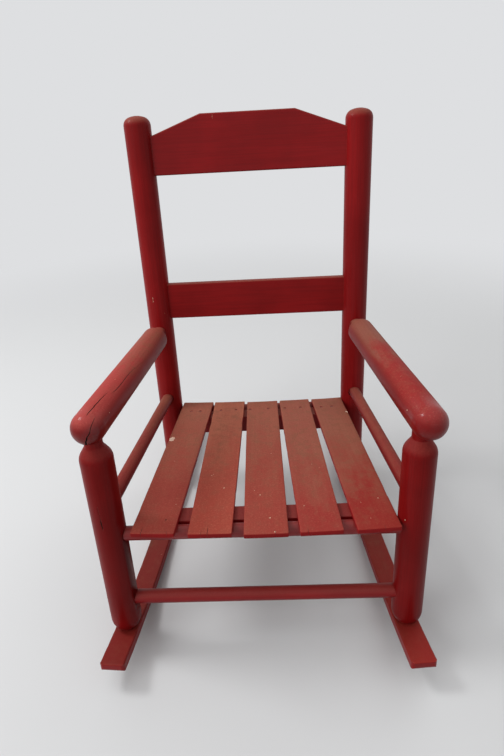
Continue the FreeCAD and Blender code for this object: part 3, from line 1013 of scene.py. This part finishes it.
# Chips: across and back from the front rung's middle, and radius; edge knocks have half their width
SLAT_CHIPS = {
    1: ((-96, 30, 0.6), (-112, 122, 0.5)),
    2: ((-43.2, 59.2, 1.1), (-60, 86, 0.7), (-58, 88, 0.5)),
    3: ((-0.4, 43.2, 0.9), (10.6, 1.2, 1), (15.5, -21.9, 0.9), (-7, 52, 0.6)),
    4: ((48.7, 20.3, 0.9), (73, 96, 0.5), (64, 104, 0.5)),
    5: ((132.4, 30.8, 0.9), (118, -4, 0.6), (112, 24, 0.5)),
}
EDGE_KNOCKS = {
    1: ((-125, 173.5, 1.2), (-124.6, 175.5, 2.4), (-124.2, 178, 2.2), (-123.6, 180, 3.2),
        (-123.6, 182.5, 2.4), (-122.8, 184.5, 1)),
    5: ((128.4, 240, 0.8), (128.4, 242.5, 1.7), (128.8, 245, 1)),
}
# A small hole that an awl left in the first slat
AWL_HOLE = Vector((-103.1, 2.9, 0)) * MM
AWL_OUTLINE = ((0.9 * MM, -1.5 * MM), (0.9 * MM, MM))
# Paint of a slat: colour in front and at the back, where the one turns into the other, and its grit.
# Slat 2's colours are lighter as painted light, against the left arm's shadow that falls on it
PLAIN_TONE = (SEAT_FADED, FADE_REACH, 0.36)
SLAT_TONES_AND_LIGHT = {
    2: ((screen(165, 69, 56), screen(166, 96, 74)), FADE_REACH, 0.36),
    4: ((screen(153, 52, 46), screen(152, 87, 70)), (-0.02, 0.14), 0.3),
    5: ((screen(147, 43, 37), screen(150, 88, 70)), (-0.01, 0.19), 0.18),
}


def build_slat(number):
    node = "seat_slat_%d" % number
    slat = Slat(node, nails)
    chips = [(on_chair(x, y, 0), r * MM) for x, y, r in SLAT_CHIPS[number]]
    faded, reach, grit = SLAT_TONES_AND_LIGHT.get(number, PLAIN_TONE)
    finish = painted("seat_paint_%d" % number, chair_turn @ slat.along, chair_turn @ slat.across,
                     faded=faded, top_wear=1.0, reach=reach, gloss=0.5, mirror=0.18, dust=0.65, grit=grit,
                     brush=0.5, specks=1.0, chips=chips)
    rings = plank_rings(slat.length, slat.width, number)
    piece = skin(node + "_worn", rings, chair @ slat.placement, finish)
    knives = [nail_knife(place, finish) for place in slat.nails]
    for seed, (share, run, wide) in enumerate(SLAT_SPLITS[number]):
        knives.append(split_knife(slat, share, run, wide, seed))
    if number == 1:
        knives.insert(0, round_knife(AWL_OUTLINE, chair @ Matrix.Translation(AWL_HOLE), crack_paint))
    if number in EDGE_KNOCKS:
        knives.append(edge_knock(EDGE_KNOCKS[number], number))
    carve(piece, knives)
    stand_in(piece, node)
    print(piece.name, "length and width in mm:", round(slat.length / MM, 1), round(slat.width / MM, 1),
          " nails:", len(slat.nails), " faces:", len(piece.data.polygons))


for number in SLAT_SPLITS:
    build_slat(number)

# %% [markdown]
# ## The cracked front post
#
# The left front post has a short dark check below the arm. Its solid is right in every other way, so
# its mesh is copied, welded and cut. Its faces are as long as the post, and a cut would turn each into
# a fan of thin triangles that shade badly, so rings are cut into them first.

# %% Cut the check into a copy of the post
WELD = 0.002 * MM
RING_HEIGHTS = range(-3, 49, 3)
POST_CHECK_STEP = 2.0
POST_CHECK_SEED = 3
# How every post is painted, apart from its red
POST_LOOK = {"gloss": 0.38, "mirror": 0.1, "shine": 0.08, "specks": 0.7}
# Check: across from the chair's middle, up from the seat, width and depth of each mark
POST_CHECK = (
    (-166.4, 4, 0.1, 0.6), (-166.5, 8.5, 1.2, 3), (-166.8, 13.5, 1.4, 3.4), (-166.9, 18, 0.35, 1.5),
    (-167.4, 34, 0.08, 0.7),
)


def ring_cuts(mesh, heights):
    """Cut rings into a post's long faces, square to it, at heights in millimetres above the seat."""
    work = bmesh.new()
    work.from_mesh(mesh)
    for height in heights:
        parts = work.verts[:] + work.edges[:] + work.faces[:]
        bmesh.ops.bisect_plane(work, geom=parts, dist=WELD, plane_co=on_chair(0, 0, height), plane_no=up)
    work.to_mesh(mesh)
    work.free()


def build_cracked_post():
    node = "front_post_left"
    axis = front_post_top("left")
    axis.z = 0

    def front_wall(across, height):
        offset = across * MM - axis.x
        out = Vector((offset, -math.sqrt(POST_R ** 2 - offset ** 2), 0)).normalized()
        return chair @ (axis + out * POST_R + Vector((0, 0, height * MM))), chair_turn @ out

    # The front post's darker crimson is painted shade
    finish = painted(node + "_paint", up, right, red=SHADED_CRIMSON, top_wear=0.7, **POST_LOOK)
    mesh = nodes[node].data.copy()
    mesh.materials.clear()
    mesh.materials.append(finish)
    tidy_faces(mesh, WELD)
    ring_cuts(mesh, RING_HEIGHTS)
    piece = in_scene(node + "_cracked", mesh)
    path = crack_path(front_wall, POST_CHECK, POST_CHECK_STEP)
    carve(piece, [crack_knife(path, POST_CHECK_SEED, crack_paint)])
    stand_in(piece, node)
    print(piece.name, "faces:", len(piece.data.polygons))


build_cracked_post()

# %% [markdown]
# ## Paint the frame's own pieces
#
# All other pieces keep their solids and get the same paint, each with its own grain: up the posts,
# along the rungs and boards, and from front to back in the runners. The nails get a paint of their own.

# %% Paint posts, rungs, boards and nails
# Chips: across, back and up from the seat's top over the front rung's middle, and radius
CHIPS = {
    "front_post_right": ((152.2, -11.6, 2.4, 0.7),),
    "rear_post_left": ((-146.9, 274.6, 171.8, 0.6), (-146.9, 274.6, 174.3, 0.7), (-146.9, 274.6, 177, 0.6)),
    "rear_post_right": ((139.2, 274.3, 120, 0.6),),
    "crest_rail": ((-44.4, 285.5, 407.5, 0.45), (-44.4, 285.5, 405.8, 0.4), (-44.3, 285.5, 404.2, 0.35)),
    "side_rung_right": ((144.6, 144.9, 24.5, 1.1),),
    "rocker_right": ((167.4, -27.7, -149, 1.2), (173.6, -43.8, -148, 0.9)),
}
RUNG_SHINES = {"front_seat_rung": 0.6, "rear_seat_rung": 0.3, "front_stretcher": 0.15}


def coat(node, finish):
    """Give a frame node one material."""
    for slot in nodes[node].material_slots:
        slot.material = finish


def coat_paint(node, along, across, **look):
    """Paint a frame node, with its chips."""
    knocks = [(on_chair(*chip[:3]), chip[3] * MM) for chip in CHIPS.get(node, ())]
    coat(node, painted(node + "_paint", along, across, chips=knocks, **look))


coat("seat_slat_nails", nails_paint)
# Only the front post gets the darker crimson, as painted shade
for node in ("front_post_right", "rear_post_left", "rear_post_right"):
    red = SHADED_CRIMSON if node == "front_post_right" else POST_CRIMSON
    coat_paint(node, up, right, red=red, top_wear=0.9, **POST_LOOK)
for node, shine in RUNG_SHINES.items():
    coat_paint(node, right, back, top_wear=0.7, gloss=0.36, mirror=0.24, shine=shine)
for node in ("front_seat_batten", "rear_seat_batten"):
    coat_paint(node, right, back, top_wear=0.95, gloss=0.4, dust=0.3)
coat_paint("crest_rail", right, up, top_wear=0.8, mirror=0.2, specks=0.3)
coat_paint("back_slat", right, up, red=POST_CRIMSON, top_wear=0.8, mirror=0.14, specks=0.3)
print("materials so far:", len(bpy.data.materials))

# %% Paint the side rungs and runners
for side, faded in RUNNER_TONES_AND_SIDE_LIGHT.items():
    span = middle("rear_post_" + side) - middle("front_post_" + side)
    run = (span - up * span.dot(up)).normalized()
    across = run.cross(up).normalized()
    # The side rung's darker crimson is painted shade
    coat_paint("side_rung_" + side, run, across, red=SIDE_RUNG_SHADE_CRIMSON, top_wear=1.0, gloss=0.45, mirror=0.16,
               dust=0.4, specks=0.8)
    # The runners' colours differ by side as painted light and shade
    coat_paint("rocker_" + side, run, across, faded=faded, top_wear=1.0, mirror=0.2, dust=0.25, specks=1.0)
print("materials:", len(bpy.data.materials))

# %% [markdown]
# ## Floor, surround and light
#
# A pale floor catches the shadow, and it fades into a pale surround about a metre and a half away, so
# there is no horizon line. The light that it throws back is that of grey concrete, so the undersides
# stay dark. The key lamp, to the left and above, is small and makes the sparkle on the arms' balls.
# Three large soft lamps show in no reflection: one overhead lights the seat, one in front on the left
# the upright faces, and one behind on the right keeps the back readable. The sky gives the rest.

# %% The floor
FLOOR_HALF = 12.0
PALE = screen(222, 223, 225)
FLOOR_SEEN = screen(214, 215, 216)
FLOOR_BOUNCE = screen(122, 122, 112)
FADE_START = 0.75
FADE_END = 1.7


def pale_rays(tree):
    """1 for what the camera sees, straight or by way of a reflection or glass, and 0 for light."""
    kinds = ("Is Camera Ray", "Is Glossy Ray", "Is Transmission Ray")
    straight, reflected, through = (tree.node("ShaderNodeLightPath", output=kind) for kind in kinds)
    return straight.most(reflected).most(through)


def pale_floor():
    finish = Finish("pale_floor")
    seen = pale_rays(finish)
    away = finish.vector("LENGTH", finish.place(), (0, 0, 0), "Value")
    ground = finish.node("ShaderNodeBsdfDiffuse", {}, {"Color": finish.mix(seen, FLOOR_BOUNCE, FLOOR_SEEN)})
    glow = finish.node("ShaderNodeEmission", {}, {"Color": PALE})
    fade = finish.ramp(away, FADE_START, FADE_END) * seen
    surface = finish.node("ShaderNodeMixShader", {}, {0: fade, 1: ground, 2: glow})
    finish.feed(finish.tree.nodes["Material Output"].inputs["Surface"], surface)
    square = [(x * FLOOR_HALF, y * FLOOR_HALF, 0) for x, y in ((-1, -1), (1, -1), (1, 1), (-1, 1))]
    mesh = bpy.data.meshes.new("floor")
    mesh.from_pydata(square, [], [(0, 1, 2, 3)])
    mesh.materials.append(finish.material)
    floor = in_scene("floor", mesh)


pale_floor()
print("the floor fades out from", FADE_START, "to", FADE_END, "m")

# %% The surround and the lamps
SKY_STRENGTH = 0.5
KEY_FROM = (-0.66, 0.01, 0.75)
KEY_DISTANCE = 2.0
chair_middle = (cad_box[0] + cad_box[1]) / 2
key_place = chair_middle + chair_turn @ Vector(KEY_FROM) * KEY_DISTANCE
# Place, diameter and watts of each lamp, and whether it shows in reflections
LAMPS = {
    "key": (key_place, 0.54, 13, True),
    "overhead": ((-0.7, -0.1, 2.3), 1.8, 8, False),
    "front_fill": ((-1.8, -1.5, 1.3), 1.6, 27, False),
    "back_fill": ((1.4, 1.7, 1.5), 2.0, 11, False),
}


def surround():
    """Plain sky for light; the camera and reflections see the pale surround instead."""
    world = bpy.data.worlds.new("surround")
    bpy.context.scene.world = world
    world.use_nodes = True
    world.node_tree.nodes.clear()
    sky = Tree(world.node_tree)
    plain = sky.node("ShaderNodeBackground", {}, {"Color": (1, 1, 1, 1), "Strength": SKY_STRENGTH})
    pale = sky.node("ShaderNodeBackground", {}, {"Color": PALE})
    both = sky.node("ShaderNodeMixShader", {}, {0: pale_rays(sky), 1: plain, 2: pale})
    sky.node("ShaderNodeOutputWorld", {}, {"Surface": both})


def lamp(name, place, size, watts, reflected):
    """Round lamp that faces the chair's middle."""
    light = bpy.data.lights.new(name, "AREA")
    light.shape = "DISK"
    light.size = size
    light.energy = watts
    made = in_scene(name, light)
    made.location = place
    made.rotation_euler = (chair_middle - Vector(place)).to_track_quat("-Z", "Y").to_euler()
    made.visible_glossy = reflected


surround()
for name, settings in LAMPS.items():
    lamp(name, *settings)
bpy.context.scene.view_settings.view_transform = "Standard"
print("lamps:", len(bpy.data.lights), " sky strength:", SKY_STRENGTH)
